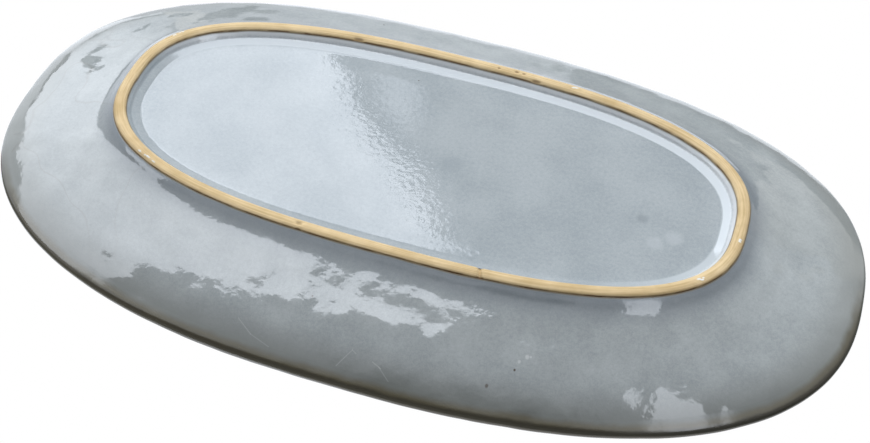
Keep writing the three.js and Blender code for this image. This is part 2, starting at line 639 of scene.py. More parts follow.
        ends = board.math("COSINE", board.math("MULTIPLY", angle, self.saddle_lobes))
        near_end = board.math("MULTIPLY", board.math("POWER", cosine, 2.0), self.end_ease)
        ease = board.math("MULTIPLY_ADD", board.math("SUBTRACT", 1.0, along_sway), near_end, 1.0)
        saddle = board.math("MULTIPLY", board.math("MULTIPLY", ends, given["Lip Saddle"]), sway)
        lift = board.math("MULTIPLY", saddle, ease)
        bow = self._bow(sway, along_sway, sine)
        drop = board.math("ADD", board.math("ADD", lift, bow), self._unevenness(x, y, reach, climb))
        place = board.join(x, y, board.math("SUBTRACT", height, drop))

        drawn = board.add("GeometryNodeSetPosition", {"Geometry": given["Geometry"], "Position": place})
        merged = board.add(
            "GeometryNodeMergeByDistance",
            {"Geometry": drawn.outputs[0], "Distance": given["Merge Distance"]},
        )
        bend = board.add("GeometryNodeInputMeshEdgeAngle").outputs[0]
        bend_and_limit = {0: bend, 1: given["Sharp Angle"]}
        sharp = board.add("FunctionNodeCompare", bend_and_limit, operation="GREATER_THAN")
        smooth = board.add(
            "GeometryNodeSetShadeSmooth",
            {"Geometry": merged.outputs[0], "Shade Smooth": True},
            domain="FACE",
        )
        edged = board.add(
            "GeometryNodeSetShadeSmooth",
            {"Geometry": smooth.outputs[0], "Selection": sharp.outputs[0], "Shade Smooth": False},
            domain="EDGE",
        )
        real = board.add("GeometryNodeRealizeInstances", {"Geometry": edged.outputs[0]})
        dressed = board.add(
            "GeometryNodeSetMaterial",
            {"Geometry": real.outputs[0], "Material": given["Material"]},
        )
        board.add("NodeGroupOutput", {0: dressed.outputs[0]})

    def draw(self, strip: bpy.types.Object, material: bpy.types.Material) -> None:
        """Turns a strip into a finished piece.

        Args:
            strip: The unrolled strip. Its mesh is replaced.
            material: The piece's finish.
        """
        modifier = strip.modifiers.new("drawn_oval", "NODES")
        modifier.node_group = self.tree
        for name, value in self.values.items():
            modifier[self.identifiers[name]] = value
        modifier[self.identifiers["Material"]] = material
        keep_result(strip, modifier)


def keep_result(piece: bpy.types.Object, modifier: bpy.types.Modifier) -> None:
    """Makes a modifier's result the piece's own plain mesh, and removes the modifier.

    Args:
        piece: The object that carries the modifier.
        modifier: Its Geometry Nodes modifier.
    """
    depsgraph = bpy.context.evaluated_depsgraph_get()
    made = bpy.data.meshes.new_from_object(
        piece.evaluated_get(depsgraph), preserve_all_data_layers=True, depsgraph=depsgraph
    )
    piece.modifiers.remove(modifier)
    piece.data = made
    made.name = piece.name


def unrolled_strip(name: str, profile: Profile, turns: int, edge: int = 0) -> bpy.types.Object:
    """Builds a strip that holds a section at every step of a turn.

    Args:
        name: The piece's name.
        profile: Gives the section's points at a share of a turn. The section runs anticlockwise,
            and starts and ends on the axis or closes on itself.
        turns: Number of steps in the turn.
        edge: Index of the section's point from which the section map counts its millimetres.

    Returns:
        The strip, with the share of a turn and the distance from the edge in its section map.
    """
    shares = [step / turns for step in range(turns + 1)]
    rows = [profile(share) for share in shares]
    marks = [0.0]
    for before, after in zip(rows[0], rows[0][1:]):
        marks.append(marks[-1] + (after - before).length / MM)
    count = len(marks)
    vertices = [(share, point.x, point.y) for share, row in zip(shares, rows) for point in row]
    starts = [column * count + row for column in range(turns) for row in range(count - 1)]
    faces = [(start, start + count, start + count + 1, start + 1) for start in starts]
    mesh = bpy.data.meshes.new(name)
    mesh.from_pydata(vertices, [], faces)
    layer = mesh.uv_layers.new(name=SECTION_MAP)
    indices = [index for face in faces for index in face]
    corners = [(shares[index // count], marks[index % count] - marks[edge]) for index in indices]
    layer.uv.foreach_set("vector", [part for corner in corners for part in corner])
    strip = bpy.data.objects.new(name, mesh)
    bpy.context.scene.collection.objects.link(strip)
    return strip


def seat(piece: bpy.types.Object, node: str) -> None:
    """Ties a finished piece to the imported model.

    Args:
        piece: The finished piece.
        node: The solid that it stands for.
    """
    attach(piece, BODY)
    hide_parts(node)
    log.info("%s: %d faces, stands for %s", piece.name, len(piece.data.polygons), node)


def wander(share: float, waves: float, seed: float) -> float:
    """Gives a smooth random value that closes on itself after one turn.

    Args:
        share: Share of the turn.
        waves: About how many waves there are in a turn.
        seed: Which of many such lines.

    Returns:
        A value between about -1 and 1.
    """
    angle = math.tau * share
    radius = waves / math.tau
    return noise.noise(Vector((radius * math.cos(angle), radius * math.sin(angle), seed)))


@dataclass(frozen=True)
class NoiseLayer:
    """One noise of a pattern, stretched so that its usual range fills 0 to 1."""

    share: float
    detail: float
    roughness: float
    low: float
    high: float
    smooth: bool = False

    def on(self, board: NodeBoard, place: Socket, scale: object) -> Socket:
        """Returns the stretched noise at a place."""
        level = board.noise(place, scale, self.detail, self.roughness)
        return board.ramp(level, self.low, self.high, smooth=self.smooth)


@dataclass(frozen=True)
class Arc:
    """A part of the turn round the plate, with soft ends."""

    middle: float
    half: float
    fade: float

    def share(self, board: NodeBoard, turn: Socket) -> Socket:
        """Returns 1 on the arc and 0 off it, with a soft change at both ends."""
        away = board.turns_from(turn, self.middle)
        return board.ramp(away, self.half + self.fade, self.half - self.fade)


class GlazeMottle:
    """Shader group of what the glazes share: a cloudy, flecked tone, iron spots and orange peel."""

    # Share, detail and roughness of each noise, and the range that is stretched.
    layers: dict[str, NoiseLayer] = {
        "Cloud Scale": NoiseLayer(0.42, 3.0, 0.55, 0.3, 0.7, smooth=True),
        "Fleck Scale": NoiseLayer(0.28, 2.0, 0.6, 0.3, 0.7),
        "Grain Scale": NoiseLayer(0.30, 1.0, 0.5, 0.25, 0.75),
    }
    iron_chance: float = 0.2
    iron_least: float = 0.35
    iron_core: float = 0.5
    peel_detail: float = 3.0
    peel_roughness: float = 0.45

    def __init__(self) -> None:
        """Builds the group."""
        self.tree = bpy.data.node_groups.new("glaze_mottle", "ShaderNodeTree")
        sockets = self.tree.interface
        sockets.new_socket(name="Vector", in_out="INPUT", socket_type="NodeSocketVector")
        for name in (*self.layers, "Iron Scale", "Iron Radius", "Peel Scale"):
            sockets.new_socket(name=name, in_out="INPUT", socket_type="NodeSocketFloat")
        for name in ("Tone", "Iron", "Peel"):
            sockets.new_socket(name=name, in_out="OUTPUT", socket_type="NodeSocketFloat")
        board = NodeBoard(self.tree)
        given = board.add("NodeGroupInput").outputs
        place = given["Vector"]
        tone: object = 0.0
        for name, layer in self.layers.items():
            tone = board.math("MULTIPLY_ADD", layer.on(board, place, given[name]), layer.share, tone)
        spots = board.add("ShaderNodeTexVoronoi", {"Vector": place, "Scale": given["Iron Scale"]})
        chosen, size, _ = board.split(spots.outputs["Color"])
        share = board.ramp(size, 0.0, 1.0, self.iron_least, 1.0)
        radius = board.math("MULTIPLY", share, given["Iron Radius"])
        dot = board.ramp(spots.outputs["Distance"], radius, board.math("MULTIPLY", radius, self.iron_core))
        iron = board.math("MULTIPLY", dot, board.math("GREATER_THAN", chosen, 1 - self.iron_chance))
        peel = board.noise(place, given["Peel Scale"], self.peel_detail, self.peel_roughness)
        board.add("NodeGroupOutput", {"Tone": tone, "Iron": iron, "Peel": peel})


@dataclass(frozen=True)
class GlazeSurface:
    """What a glaze looks like apart from its colour."""

    roughness: float = 0.055
    edge_roughness: float = 0.45
    ior: float = 1.55
    cloud_length: float = 11 * MM
    fleck_length: float = 1.5 * MM
    grain_length: float = 0.55 * MM
    iron_cell: float = 15 * MM
    iron_radius: float = 0.05
    peel_length: float = 3.5 * MM
    peel_depth: float = 0.045 * MM


class Finish:
    """A material with its shader, and the coordinates that its patterns read.

    They are the place on the plate, the share of a turn and the section map's distance in millimetres.
    """

    def __init__(self, name: str) -> None:
        """Makes the material.

        Args:
            name: The finish's name.
        """
        self.material = bpy.data.materials.new(name)
        self.board = blank_board(self.material)
        self.shader = self.board.add("ShaderNodeBsdfPrincipled")
        self.board.add("ShaderNodeOutputMaterial", {"Surface": self.shader.outputs[0]})
        self.place = self.board.add("ShaderNodeTexCoord").outputs["Object"]
        section = self.board.add("ShaderNodeUVMap", uv_map=SECTION_MAP).outputs[0]
        self.turn, self.mark, _ = self.board.split(section)

    def set(self, **inputs: object) -> None:
        """Feeds the shader's inputs, named with underscores for spaces."""
        for name, value in inputs.items():
            self.board.feed(self.shader.inputs[name.replace("_", " ")], value)

    def bump(self, height: Socket, depth: float) -> None:
        """Makes the surface uneven.

        Args:
            height: The pattern, from 0 to 1.
            depth: Its depth in metres.
        """
        node = self.board.add("ShaderNodeBump", {"Strength": 1.0, "Distance": depth, "Height": height})
        self.set(Normal=node.outputs[0])

    def wavering(self, level: Socket, noise_level: Socket, depth: float) -> Socket:
        """Makes a level waver to both sides.

        Args:
            level: The even level.
            noise_level: The noise that moves it, from 0 to 1.
            depth: How far the noise's whole range moves it.

        Returns:
            The wavering level.
        """
        uneven = self.board.math("SUBTRACT", noise_level, HALF)
        return self.board.math("MULTIPLY_ADD", uneven, depth, level)


class Paint(Protocol):
    """Something that is painted over a glaze's colour."""

    def paint(self, finish: Finish, colour: Socket) -> Socket:
        """Returns the painted colour."""


@dataclass(frozen=True)
class GlazeMark:
    """A spot or a scratch in the glaze, between two places given by X and Y."""

    start: tuple[float, float]
    end: tuple[float, float]
    radius: float
    colour: Colour
    strength: float = 1.0
    core: float = 0.35

    def paint(self, finish: Finish, colour: Socket) -> Socket:
        """Paints the mark over a colour.

        Args:
            finish: The material.
            colour: The colour so far.

        Returns:
            The painted colour.
        """
        board = finish.board
        span = Vector((*self.end, 0.0)) - Vector((*self.start, 0.0))
        flat = board.vector("MULTIPLY", finish.place, (1.0, 1.0, 0.0))
        gone = board.vector("SUBTRACT", flat, (*self.start, 0.0))
        nearest: object = (0.0, 0.0, 0.0)
        if span.length > 0:
            along = board.vector("DOT_PRODUCT", gone, tuple(span / span.length_squared), "Value")
            share = board.ramp(along, 0.0, 1.0, smooth=False)
            scaled = board.add("ShaderNodeVectorMath", {0: tuple(span), "Scale": share}, operation="SCALE")
            nearest = scaled.outputs[0]
        away = board.vector("DISTANCE", gone, nearest, "Value")
        shown = board.ramp(away, self.radius, self.radius * self.core, 0.0, self.strength)
        return board.blend(shown, colour, self.colour)


IRON = (0.07, 0.05, 0.03)
# Pale specks in the glaze, and the painted glint on the ring's grains.
CHALK_AND_GLINT = (0.80, 0.84, 0.86)
SCRATCH = (0.62, 0.66, 0.66)
SCRATCH_RADIUS = 0.25 * MM


def scratch(start: tuple[float, float], end: tuple[float, float], strength: float = 0.2) -> GlazeMark:
    """Returns a fine pale scratch between two places in millimetres."""
    ends = [(x * MM, y * MM) for x, y in (start, end)]
    return GlazeMark(ends[0], ends[1], SCRATCH_RADIUS, SCRATCH, strength)


def spot(x: float, y: float, radius: float, colour: Colour, strength: float = 1.0) -> GlazeMark:
    """Returns a round spot at a place in millimetres."""
    place = (x * MM, y * MM)
    return GlazeMark(place, place, radius * MM, colour, strength)


# Places and radii are in millimetres, then come a spot's colour and a mark's strength.
FLANK_MARKS = (
    scratch((-44.1, 90.2), (-37.8, 94.0)),
    scratch((-37.8, 94.0), (-29.5, 96.4), 0.14),
    scratch((-2.6, 96.2), (1.7, 90.2)),
    scratch((1.7, 90.2), (3.4, 91.0)),
    scratch((10.3, 92.1), (14.0, 93.4), 0.26),
    scratch((13.0, 93.0), (18.0, 96.4), 0.17),
    spot(62.6, 78.6, 0.8, CHALK_AND_GLINT, 0.35),
    spot(64.9, 76.4, 1.1, CHALK_AND_GLINT, 0.4),
    spot(66.2, 76.0, 0.6, CHALK_AND_GLINT, 0.35),
    spot(61.8, 81.6, 0.6, IRON),
    spot(53.5, 88.8, 0.9, IRON, 0.8),
    spot(-19.0, 77.1, 0.6, IRON, 0.6),
    spot(102.9, 43.6, 0.7, IRON, 0.7),
)
BASE_MARKS = (
    spot(11.9, 1.3, 6.0, (0.24, 0.29, 0.33), 0.35),
    spot(90.6, 3.8, 3.0, (0.20, 0.24, 0.27), 0.45),
    spot(98.0, 14.6, 4.5, (0.50, 0.55, 0.60), 0.35),
    spot(104.5, 9.8, 5.0, (0.50, 0.55, 0.60), 0.35),
)


@dataclass(frozen=True)
class PaintedCoveShade:
    """Painted shade: a deeper tone in the outer cove beside the ring. Its run is in millimetres from the
    coat's edge.
    """

    colour: Colour = (0.180, 0.215, 0.255)
    run: float = 14.0
    strength: float = 0.7

    def paint(self, finish: Finish, colour: Socket) -> Socket:
        """Returns a colour with the deeper tone over it."""
        # Painted shade, darkest at the coat's edge by the ring.
        in_cove = finish.board.ramp(finish.mark, self.run, 0.0, 0.0, self.strength)
        return finish.board.blend(in_cove, colour, self.colour)


@dataclass(frozen=True)
class CovePoolAndSheen:
    """Glaze that has pooled in the inner cove and thins towards the ring, painted paler there as a painted
    reflection and painted light, on the far and right side only.

    Starts, the blend and the ragged depth are in millimetres of the section map.
    """

    # Colours of the pooled band, lightened as a painted reflection and painted light, palest towards the
    # ring.
    pool_and_sheen: Colour = (0.47, 0.53, 0.58)
    thin_and_lit: Colour = (0.74, 0.78, 0.82)
    pool_and_sheen_start: float = -7.2
    thin_and_lit_start: float = -2.6
    blend: float = 1.2
    ragged_length: float = 1.2 * MM
    ragged_detail: float = 3.0
    ragged_roughness: float = 0.6
    ragged_depth: float = 1.8
    arc: Arc = Arc(0.84, 0.27, 0.05)

    def paint(self, finish: Finish, colour: Socket) -> Socket:
        """Paints the pool, with its painted reflection and painted light, over a colour.

        Args:
            finish: The material.
            colour: The glaze's colour so far.

        Returns:
            The painted colour.
        """
        board = finish.board
        here = self.arc.share(board, finish.turn)
        level = board.noise(finish.place, 1 / self.ragged_length, self.ragged_detail, self.ragged_roughness)
        ragged = finish.wavering(finish.mark, level, self.ragged_depth)
        pool_and_sheen = board.ramp(finish.mark, self.pool_and_sheen_start, self.pool_and_sheen_start + self.blend)
        thin_and_lit_share = board.ramp(ragged, self.thin_and_lit_start - self.blend, self.thin_and_lit_start + self.blend)
        # Painted reflection and painted light: both bands are painted only on the far and right arc.
        colour = board.blend(board.math("MULTIPLY", pool_and_sheen, here), colour, self.pool_and_sheen)
        return board.blend(board.math("MULTIPLY", thin_and_lit_share, here), colour, self.thin_and_lit)


@dataclass(frozen=True)
class TideLines:
    """Faint lines at one end of the plate, where the wet glaze dried in steps."""

    colour: Colour = (0.22, 0.215, 0.20)
    strength: float = 0.3
    length: float = 48 * MM
    width: float = 0.008
    arc: Arc = Arc(0.46, 0.104, 0.026)

    def paint(self, finish: Finish, colour: Socket) -> Socket:
        """Paints the lines over a colour.

        Args:
            finish: The material.
            colour: The glaze's colour so far.

        Returns:
            The painted colour.
        """
        board = finish.board
        level = board.noise(finish.place, 1 / self.length)
        from_line = board.math("ABSOLUTE", board.math("SUBTRACT", level, HALF))
        line = board.ramp(from_line, self.width, 0.0, 0.0, self.strength, smooth=False)
        shown = board.math("MULTIPLY", line, self.arc.share(board, finish.turn))
        return board.blend(shown, colour, self.colour)


@dataclass(frozen=True)
class GreyGlaze:
    """The mottled grey-blue glaze on the base, the flank and the serving side.

    Its widths, and where it turns to the rim's colour, are in millimetres of the section map.
    """

    name: str
    mottle: GlazeMottle
    surface: GlazeSurface = GlazeSurface()
    pale: Colour = (0.406, 0.456, 0.494)
    deep: Colour = (0.266, 0.316, 0.354)
    rim: Colour = (0.300, 0.325, 0.322)
    # Painted shade: the rim is painted darker on the near side.
    shaded_near_rim: Colour = (0.178, 0.194, 0.186)
    near: Arc = Arc(0.225, 0.17, 0.06)
    rim_start: float = 32.0
    rim_end: float = 56.0
    iron: Colour = IRON
    edge: Colour | None = (0.19, 0.155, 0.10)
    edge_width: float = 0.9
    layers: Sequence[Paint] = ()

    def material(self) -> bpy.types.Material:
        """Makes the material.

        Returns:
            The finished material.
        """
        finish = Finish(self.name)
        mottle = add_mottle(finish, self.mottle, self.surface)
        board = finish.board
        colour = board.blend(mottle["Tone"], self.deep, self.pale)
        towards_rim = board.ramp(finish.mark, self.rim_start, self.rim_end)
        colour = board.blend(towards_rim, colour, self.rim_colour(finish))
        for layer in self.layers:
            colour = layer.paint(finish, colour)
        if self.edge is not None:
            from_edge = board.math("ABSOLUTE", finish.mark)
            colour = board.blend(board.ramp(from_edge, self.edge_width, 0.0), colour, self.edge)
            dry, glossy = self.surface.edge_roughness, self.surface.roughness
            finish.set(Roughness=board.ramp(from_edge, 0.0, 2 * self.edge_width, dry, glossy))
        finish.set(Base_Color=board.blend(mottle["Iron"], colour, self.iron))
        return finish.material

    def rim_colour(self, finish: Finish) -> Socket:
        """Returns the colour that the glaze takes towards the lip, with painted shade deepening it on the
        near side.
        """
        near = self.near.share(finish.board, finish.turn)
        return finish.board.blend(near, self.rim, self.shaded_near_rim)


def add_mottle(finish: Finish, mottle: GlazeMottle, surface: GlazeSurface) -> Sequence[Socket]:
    """Places the mottle group in a glaze and sets the glaze's gloss and orange peel.

    Args:
        finish: The glaze's material.
        mottle: The group.
        surface: The glaze's sizes.

    Returns:
        The group's outputs.
    """
    inputs = {
        "Vector": finish.place,
        "Cloud Scale": 1 / surface.cloud_length,
        "Fleck Scale": 1 / surface.fleck_length,
        "Grain Scale": 1 / surface.grain_length,
        "Iron Scale": 1 / surface.iron_cell,
        "Iron Radius": surface.iron_radius,
        "Peel Scale": 1 / surface.peel_length,
    }
    group = finish.board.add("ShaderNodeGroup", inputs, node_tree=mottle.tree)
    finish.set(Roughness=surface.roughness, IOR=surface.ior)
    finish.bump(group.outputs["Peel"], surface.peel_depth)
    return group.outputs


@dataclass(frozen=True)
class LipGlaze:
    """The glaze round the lip, which thins out there and breaks olive brown; on the near side its crest is
    also painted darker as painted shade.

    Starts, full depths and the wander's depth are in millimetres from the coat's edges to its crest.
    """

    name: str
    mottle: GlazeMottle
    form: PlateForm
    grey: GreyGlaze
    surface: GlazeSurface = GlazeSurface(roughness=0.16)
    rim_share: float = 0.92
    olive: Colour = (0.135, 0.124, 0.086)
    olive_start: float = 0.5
    olive_full: float = 4.0
    # Painted shade: the dark colour painted over the lip's crest.
    dark: Colour = (0.090, 0.083, 0.062)
    crest_shade_start: float = 3.8
    crest_shade_full: float = 5.5
    break_and_shade_side: Arc = Arc(0.21, 0.21, 0.03)
    wander_scale: float = 90.0
    wander_detail: float = 3.0
    wander_depth: float = 3.0

    def material(self) -> bpy.types.Material:
        """Makes the material.

        Returns:
            The finished material.
        """
        finish = Finish(self.name)
        mottle = add_mottle(finish, self.mottle, self.surface)
        board = finish.board
        grey = board.blend(mottle["Tone"], self.grey.deep, self.grey.pale)
        colour = board.blend(self.rim_share, grey, self.grey.rim_colour(finish))
        half_way = (2 * self.form.lip_coat_run + math.pi * self.form.coat_face) / 2 / MM
        from_crest = board.math("ABSOLUTE", board.math("SUBTRACT", finish.mark, half_way))
        level = board.noise(finish.place, self.wander_scale, self.wander_detail)
        wandering = finish.wavering(from_crest, level, self.wander_depth)
        # The olive break and the crest's painted shade are both painted on the near-side arc only.
        breaks = self.break_and_shade_side.share(board, finish.turn)
        steps = (
            (self.olive, self.olive_start, self.olive_full),
            (self.dark, self.crest_shade_start, self.crest_shade_full),
        )
        for tint, start, full in steps:
            depth = board.ramp(wandering, half_way - start, half_way - full)
            colour = board.blend(board.math("MULTIPLY", depth, breaks), colour, tint)
        finish.set(Base_Color=colour)
        return finish.material


BURNT = (0.17, 0.095, 0.045)
RING_LENGTH = 610 * MM


@dataclass(frozen=True)
class RingMark:
    """A dent in the ring's land, stained by the fire, or a grain of glaze that stands on it, painted near
    white as a painted glint.

    Its spread is 1 where it has fallen off by one length along the ring or one width across it.
    """

    turn: float
    across: float
    length: float
    width: float
    depth: float
    colour: Colour = BURNT
    strength: float = 0.55
    furthest_spread: float = 9.0
    stain_rim: float = 1.6
    stain_core: float = 0.2

    def depth_at(self, turn: float, across: float) -> float:
        """Gives how deep the mark is at a place.

        Args:
            turn: Share of the turn.
            across: Distance outwards from the ring's middle line.

        Returns:
            The depth, negative for a grain.
        """
        along = (turn - self.turn + HALF) % 1 - HALF
        spread = (along * RING_LENGTH / self.length) ** 2 + ((across - self.across) / self.width) ** 2
        return self.depth * math.exp(-spread) if spread < self.furthest_spread else 0.0

    def paint(self, finish: Finish, colour: Socket, across: Socket) -> Socket:
        """Paints the mark over a colour.

        Args:
            finish: The material.
            colour: The colour so far.
            across: Distance outwards from the ring's middle line, in millimetres.

        Returns:
            The painted colour.
        """
        board = finish.board
        along = board.math("MULTIPLY", board.turns_from(finish.turn, self.turn), RING_LENGTH / self.length)
        beside = board.math("MULTIPLY", board.math("SUBTRACT", across, self.across / MM), MM / self.width)
        spread = board.math("MULTIPLY_ADD", along, along, board.math("MULTIPLY", beside, beside))
        stain = board.ramp(spread, self.stain_rim, self.stain_core, 0.0, self.strength)
        return board.blend(stain, colour, self.colour)


@dataclass(frozen=True)
class GrainGroup:
    """A few small grains of glaze that stand on the ring near one place, painted near white as painted
    glints.

    Their lengths and widths are drawn in millimetres.
    """

    turn: float
    across: float
    count: int
    seed: int
    spread_along: float = 0.007
    spread_across: float = 0.5 * MM
    lengths: tuple[float, float] = (0.45, 1.1)
    widths: tuple[float, float] = (0.3, 0.5)
    depth: float = -0.16 * MM
    strength: float = 0.8

    def marks(self) -> list[RingMark]:
        """Scatters the grains from the group's seed.

        Returns:
            The grains.
        """
        scatter = random.Random(self.seed)
        return [
            RingMark(
                self.turn + scatter.uniform(-self.spread_along, self.spread_along),
                self.across + scatter.uniform(-self.spread_across, self.spread_across),
                scatter.uniform(*self.lengths) * MM,
                scatter.uniform(*self.widths) * MM,
                self.depth,
                # Painted glint: the grains are painted near white.
                CHALK_AND_GLINT,
                self.strength,
            )
            for _ in range(self.count)
        ]


# Share of the turn, place across, length, width and depth of each dent.
RING_DENTS = (
    RingMark(0.2018, 0.0, 0.5 * MM, 9.0 * MM, 0.85 * MM, strength=0.18),
    RingMark(0.2018, -2.5 * MM, 0.9 * MM, 0.7 * MM, 0.3 * MM, strength=0.95),
    RingMark(0.2018, 2.7 * MM, 1.1 * MM, 0.8 * MM, 0.3 * MM, strength=0.95),
    RingMark(0.2901, 0.1 * MM, 0.9 * MM, 0.8 * MM, 0.9 * MM, strength=0.3),
    RingMark(0.2890, 2.8 * MM, 1.0 * MM, 0.7 * MM, 0.5 * MM, strength=0.9),
    RingMark(0.6913, -1.9 * MM, 1.6 * MM, 0.8 * MM, 0.7 * MM),
    RingMark(0.7681, -0.3 * MM, 0.5 * MM, 0.5 * MM, 0.5 * MM),
    RingMark(0.7776, 0.1 * MM, 0.7 * MM, 0.6 * MM, 0.6 * MM),
    RingMark(0.7814, 0.0, 0.6 * MM, 0.5 * MM, 0.5 * MM),
    RingMark(0.7894, -2.0 * MM, 1.4 * MM, 0.7 * MM, 0.7 * MM),
)
# Share of the turn, place across, number of grains and seed of each group.
GRAIN_GROUPS = (
    GrainGroup(0.3789, 0.9 * MM, 5, 11),
    GrainGroup(0.5804, 1.1 * MM, 4, 12),
    GrainGroup(0.8120, 0.4 * MM, 2, 13),
    GrainGroup(0.0223, 0.9 * MM, 4, 14),
    GrainGroup(0.0792, 0.5 * MM, 6, 15),
)
RING_MARKS = (*RING_DENTS, *(grain for group in GRAIN_GROUPS for grain in group.marks()))


@dataclass(frozen=True)
class BareClay:
    """Fired bare clay, wiped along the ring.

    The crown's width and the burnt lines along its edges are in millimetres of the section map.
    """

    name: str
    pale: Colour = (0.75, 0.60, 0.37)
    deep: Colour = (0.50, 0.37, 0.19)
    burnt: Colour = BURNT
    roughness: float = 0.62
    specular: float = 0.3
    detail: float = 3.0
    fineness: float = 0.6
    streak_turns: float = 4.0
    streaks_across: float = 1.6
    patch_length: float = 14 * MM
    patch_share: float = 0.4
    tone_low: float = 0.3
    tone_high: float = 0.68
    grain_length: float = 0.5 * MM
    grain_depth: float = 0.05 * MM
    pit_rim: float = 0.30
    pit_core: float = 0.22
    pit_strength: float = 0.5
    crown_width: float | None = None
    burnt_start: float = 0.9
    burnt_full: float = 0.135
    burnt_length: float = 8 * MM
    burnt_low: float = 0.35
    burnt_high: float = 0.62
    burnt_least: float = 0.25

    def material(self) -> bpy.types.Material:
        """Makes the material.

        Returns:
            The finished material.
        """
        finish = Finish(self.name)
        board = finish.board
        angle = board.math("MULTIPLY", finish.turn, math.tau)
        circle = [board.math(kind, angle) for kind in ("COSINE", "SINE")]
        along = [board.math("MULTIPLY", part, self.streak_turns) for part in circle]
        drawn_out = board.join(*along, board.math("MULTIPLY", finish.mark, self.streaks_across))
        streaks = board.noise(drawn_out, 1.0, self.detail, self.fineness)
        patches = board.noise(finish.place, 1 / self.patch_length, self.detail, self.fineness)
        grain = board.noise(finish.place, 1 / self.grain_length, self.detail, self.fineness)
        patch_tone = board.math("MULTIPLY", patches, self.patch_share)
        tone = board.math("MULTIPLY_ADD", streaks, 1 - self.patch_share, patch_tone)
        colour = board.blend(board.ramp(tone, self.tone_low, self.tone_high), self.deep, self.pale)
        pits = board.ramp(grain, self.pit_rim, self.pit_core, 0.0, self.pit_strength)
        colour = board.blend(pits, colour, self.burnt)
        if self.crown_width is not None:
            colour = self.crown_colour(finish, colour, self.crown_width / 2)
        finish.set(Base_Color=colour, Roughness=self.roughness, Specular_IOR_Level=self.specular)
        finish.bump(grain, self.grain_depth)
        return finish.material

    def crown_colour(self, finish: Finish, colour: Socket, half: float) -> Socket:
        """Paints the burnt edges of the ring's crown, its dents and its grains.

        Args:
            finish: The material.
            colour: The clay's colour so far.
            half: Half the crown's width, in millimetres.

        Returns:
            The painted colour.
        """
        board = finish.board
        across = board.math("SUBTRACT", finish.mark, half)
        off = board.math("ABSOLUTE", across)
        line = board.ramp(off, half - self.burnt_start, half - self.burnt_full)
        level = board.noise(finish.place, 1 / self.burnt_length, self.detail)
        uneven = board.ramp(level, self.burnt_low, self.burnt_high, self.burnt_least, 1.0)
        colour = board.blend(board.math("MULTIPLY", line, uneven), colour, self.burnt)
        for ring_mark in RING_MARKS:
            colour = ring_mark.paint(finish, colour, across)
        return colour


@dataclass(frozen=True)
class ClayParts:
    """The pressed plate, its foot ring and the slip between them."""

    form: PlateForm
    oval: DrawnOval
    turns: int = 512
    ring_turns: int = 2048
    crown_steps: int = 26
    cove_steps: int = 8
    wall_steps: int = 14

    def plate_profile(self, share: float) -> list[Vector]:
        """Gives the pressed plate's section.

        Args:
            share: Share of the turn. The section is the same at each.

        Returns:
            Reach and height of its points.
        """
        form = self.form
        outer = form.wall_line(form.flank_start, form.lip_half_length, form.half_wall, self.wall_steps)
        inner = form.wall_line(form.lip_half_length, form.flank_start, -form.half_wall, self.wall_steps)
        bottom = level_line(0, form.flank_start, form.foot_height, self.wall_steps)[:-1]
        top_height = form.foot_height + form.wall_thickness
        top = level_line(form.flank_start, 0, top_height, self.wall_steps)[1:]
        return bottom + outer + form.lip_line(form.half_wall, self.cove_steps)[1:-1] + inner + top

    def ring_profile(self, share: float) -> list[Vector]:
        """Gives the foot ring's section, with its dents and grains.

        Args:
            share: Share of the turn.

        Returns:
            Reach and height of its points.
        """
        form = self.form
        start, end = (form.cove_share(Side.OUTSIDE, height) for height in (form.crown_rise, form.ring_top))
        outer = form.cove_line(Side.OUTSIDE, spaced(start, end, self.cove_steps), 0)
        start, end = (form.cove_share(Side.INSIDE, height) for height in (form.ring_top, form.crown_rise))
        inner = form.cove_line(Side.INSIDE, spaced(start, end, self.cove_steps), 0)
        crown = form.crown_line(self.crown_steps)[1:]
        for point in crown[:-1]:
            across = point.x - form.foot_half_length
            depth = sum(mark.depth_at(share, across) for mark in RING_MARKS)
            point.y = max(0.0, point.y + depth)
        return outer + inner + crown

    def slip_profile(self, share: float) -> list[Vector]:
        """Gives the section of the slip between the ring and the plate.

        Args:
            share: Share of the turn. The section is the same at each.

        Returns:
            Reach and height of its points.
        """
        form = self.form
        land, _, end = form.cove(Side.OUTSIDE)
        run_out = math.sqrt(form.slip_run / (end.x - land.x))
        outer = form.cove_line(
            Side.OUTSIDE, spaced(form.cove_share(Side.OUTSIDE, form.ring_top), run_out, self.cove_steps), 0
        )
        slip_end = form.flank_start + form.slip_run
        top = form.wall_line(slip_end, form.flank_start, form.half_wall, self.cove_steps)
        inner = form.cove_line(
            Side.INSIDE, spaced(1, form.cove_share(Side.INSIDE, form.ring_top), self.cove_steps), 0
        )
        return outer + top + inner + outer[:1]

    def build(self) -> None:
        """Builds and dresses the three clay pieces."""
        plate = unrolled_strip("plate_clay", self.plate_profile, self.turns)
        self.oval.draw(plate, BareClay("plate_stoneware").material())
        seat(plate, "stoneware_body")

        crown_first = 2 * self.cove_steps + 1
        ring = unrolled_strip("foot_clay", self.ring_profile, self.ring_turns, crown_first)
        crown = self.form.crown_line(self.crown_steps)
        crown_width = sum((after - before).length for before, after in zip(crown, crown[1:])) / MM
        self.oval.draw(ring, BareClay("wiped_foot", crown_width=crown_width).material())
        seat(ring, "foot_ring")

        slip = unrolled_strip("foot_slip", self.slip_profile, self.turns)
        fired_slip = BareClay("fired_slip", pale=(0.62, 0.46, 0.25), deep=(0.5, 0.35, 0.18))
        self.oval.draw(slip, fired_slip.material())
        seat(slip, "luting_slip")


